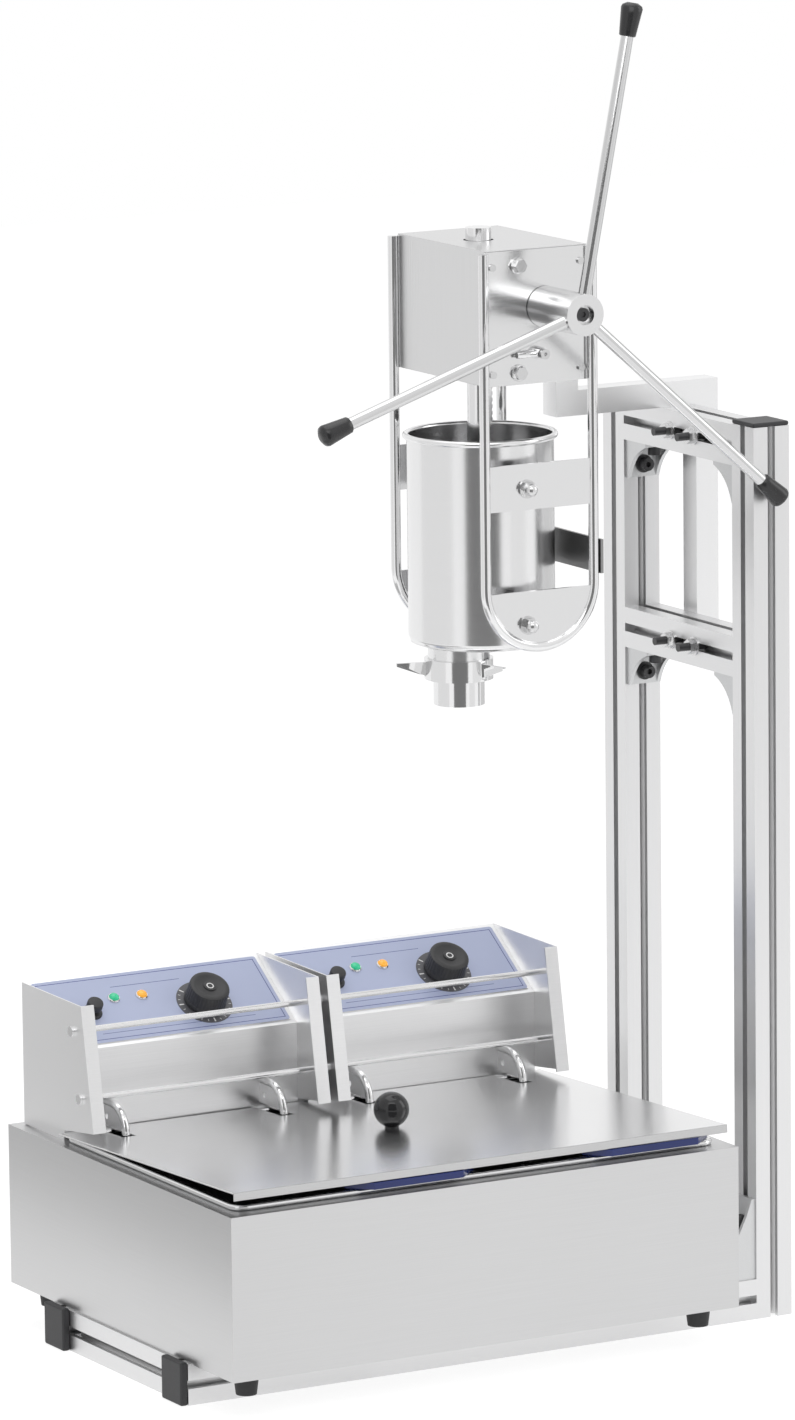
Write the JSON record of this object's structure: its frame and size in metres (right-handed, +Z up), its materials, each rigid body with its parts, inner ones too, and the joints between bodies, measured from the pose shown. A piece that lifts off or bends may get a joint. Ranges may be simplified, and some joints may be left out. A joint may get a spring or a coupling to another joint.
{
  "type": "churro press station with electric fryer",
  "caption": "Hand-cranked rack-and-pinion dough press on a slotted-profile stand over a lidded twin-tank fryer.",
  "frame": {"origin": "centre of the overall bounding box, on the floor", "axes": "+Z up; +X along the wide front of the fryer towards the stand; +Y to the back of the fryer"},
  "size_m": [0.701, 0.4596, 1.2982],
  "materials": {
    "profile_aluminium": "clear anodised",
    "cast_aluminium": "bead blasted",
    "black_plastic": "moulded",
    "zinc_fastener": "zinc plated",
    "dark_fastener": "black oxide",
    "brushed_stainless": "brushed",
    "polished_stainless": "polished",
    "turned_steel": "turned",
    "bearing_brass": "machined",
    "strap_steel": "dark",
    "knob_black": "gloss",
    "dial_grey": "satin",
    "lamp_lens": "clear lens",
    "handle_blue": "gloss",
    "foot_rubber": "moulded"
  },
  "bodies": {
    "base": {"front_upright": "profile_aluminium", "rear_upright": "profile_aluminium", "upright_caps": "black_plastic", "top_cross_rail": "profile_aluminium", "mid_cross_rail": "profile_aluminium", "front_foot_rail": "profile_aluminium", "rear_foot_rail": "profile_aluminium", "left_cross_rail": "profile_aluminium", "foot_rail_caps": "black_plastic", "corner_brackets": "cast_aluminium", "bracket_screws": "zinc_fastener", "support_bracket": "brushed_stainless", "support_bolts": "zinc_fastener", "support_nuts": "zinc_fastener", "head_side_plate": "brushed_stainless", "head_spacers": "brushed_stainless", "head_bolts": "zinc_fastener", "head_front_plate": "polished_stainless", "head_rear_plate": "brushed_stainless", "head_cover": "brushed_stainless", "head_screws": "zinc_fastener", "guide_plates": "turned_steel", "rod_bushes": "bearing_brass", "shaft_bushes": "bearing_brass", "pawl_screw": "dark_fastener", "barrel": "polished_stainless", "nozzle": "polished_stainless", "front_yoke": "polished_stainless", "rear_yoke": "polished_stainless", "back_strap": "strap_steel", "yoke_bolts": "zinc_fastener", "fryer_body": "brushed_stainless", "fryer_feet": "foot_rubber", "raised_rim": "polished_stainless", "left_tank": "brushed_stainless", "right_tank": "brushed_stainless", "tank_handles": "handle_blue", "left_control_head": "brushed_stainless", "right_control_head": "brushed_stainless", "side_guards": "brushed_stainless", "guard_rods": "polished_stainless", "dials_and_collars": "dial_grey", "pilot_lamps": "lamp_lens", "heating_tubes": "polished_stainless"},
    "handwheel": {"pinion_shaft": "turned_steel", "handwheel_hub": "turned_steel", "handwheel_arms": "turned_steel", "arm_grips": "knob_black", "hub_screw": "dark_fastener"},
    "ram": {"rack_rod": "turned_steel", "piston": "polished_stainless", "piston_seal": "foot_rubber"},
    "pawl": {"pawl_lever": "polished_stainless"},
    "outlet_ring": {"nozzle_ring": "polished_stainless"},
    "lid": {"fryer_lid": "polished_stainless", "lid_knob": "knob_black"},
    "left_knob": {"left_thermostat_knob": "knob_black"},
    "right_knob": {"right_thermostat_knob": "knob_black"},
    "left_reset": {"left_reset_button": "knob_black"},
    "right_reset": {"right_reset_button": "knob_black"}
  },
  "joints": [
    {"name": "handwheel_turn", "type": "hinge", "parent": "base", "child": "handwheel", "pos_m": [0.0858, -0.008, 1.006], "axis": [0, 1, 0], "range_deg": [0, 961.7]},
    {"name": "ram_slide", "type": "slide", "parent": "base", "child": "ram", "axis": [0, 0, 1], "range_m": [0, 0.235]},
    {"name": "pawl_lift", "type": "hinge", "parent": "base", "child": "pawl", "pos_m": [0.0789, -0.0968, 0.962], "axis": [0, 1, 0], "range_deg": [0, 45]},
    {"name": "outlet_ring_turn", "type": "hinge", "parent": "base", "child": "outlet_ring", "pos_m": [0.0359, -0.008, 0.65], "axis": [0, 0, 1], "range_deg": [0, 60]},
    {"name": "lid_slide", "type": "slide", "parent": "base", "child": "lid", "axis": [0, -0.9993, 0.0374], "range_m": [0, 0.25]},
    {"name": "left_knob_turn", "type": "hinge", "parent": "base", "child": "left_knob", "pos_m": [-0.152, 0.1723, 0.30784], "axis": [0, -0.557, 0.8305], "range_deg": [0, 270]},
    {"name": "right_knob_turn", "type": "hinge", "parent": "base", "child": "right_knob", "pos_m": [0.117, 0.1723, 0.30784], "axis": [0, -0.557, 0.8305], "range_deg": [0, 270]},
    {"name": "left_reset_press", "type": "slide", "parent": "base", "child": "left_reset", "axis": [0, 0.557, -0.8305], "range_m": [0, 0.003], "stiffness_N_per_m": 400, "springref_m": -0.002},
    {"name": "right_reset_press", "type": "slide", "parent": "base", "child": "right_reset", "axis": [0, 0.557, -0.8305], "range_m": [0, 0.003], "stiffness_N_per_m": 400, "springref_m": -0.002}
  ],
  "couplings": [
    {"joint": "ram_slide", "follows": "handwheel_turn", "m_per_rad": 0.014}
  ]
}
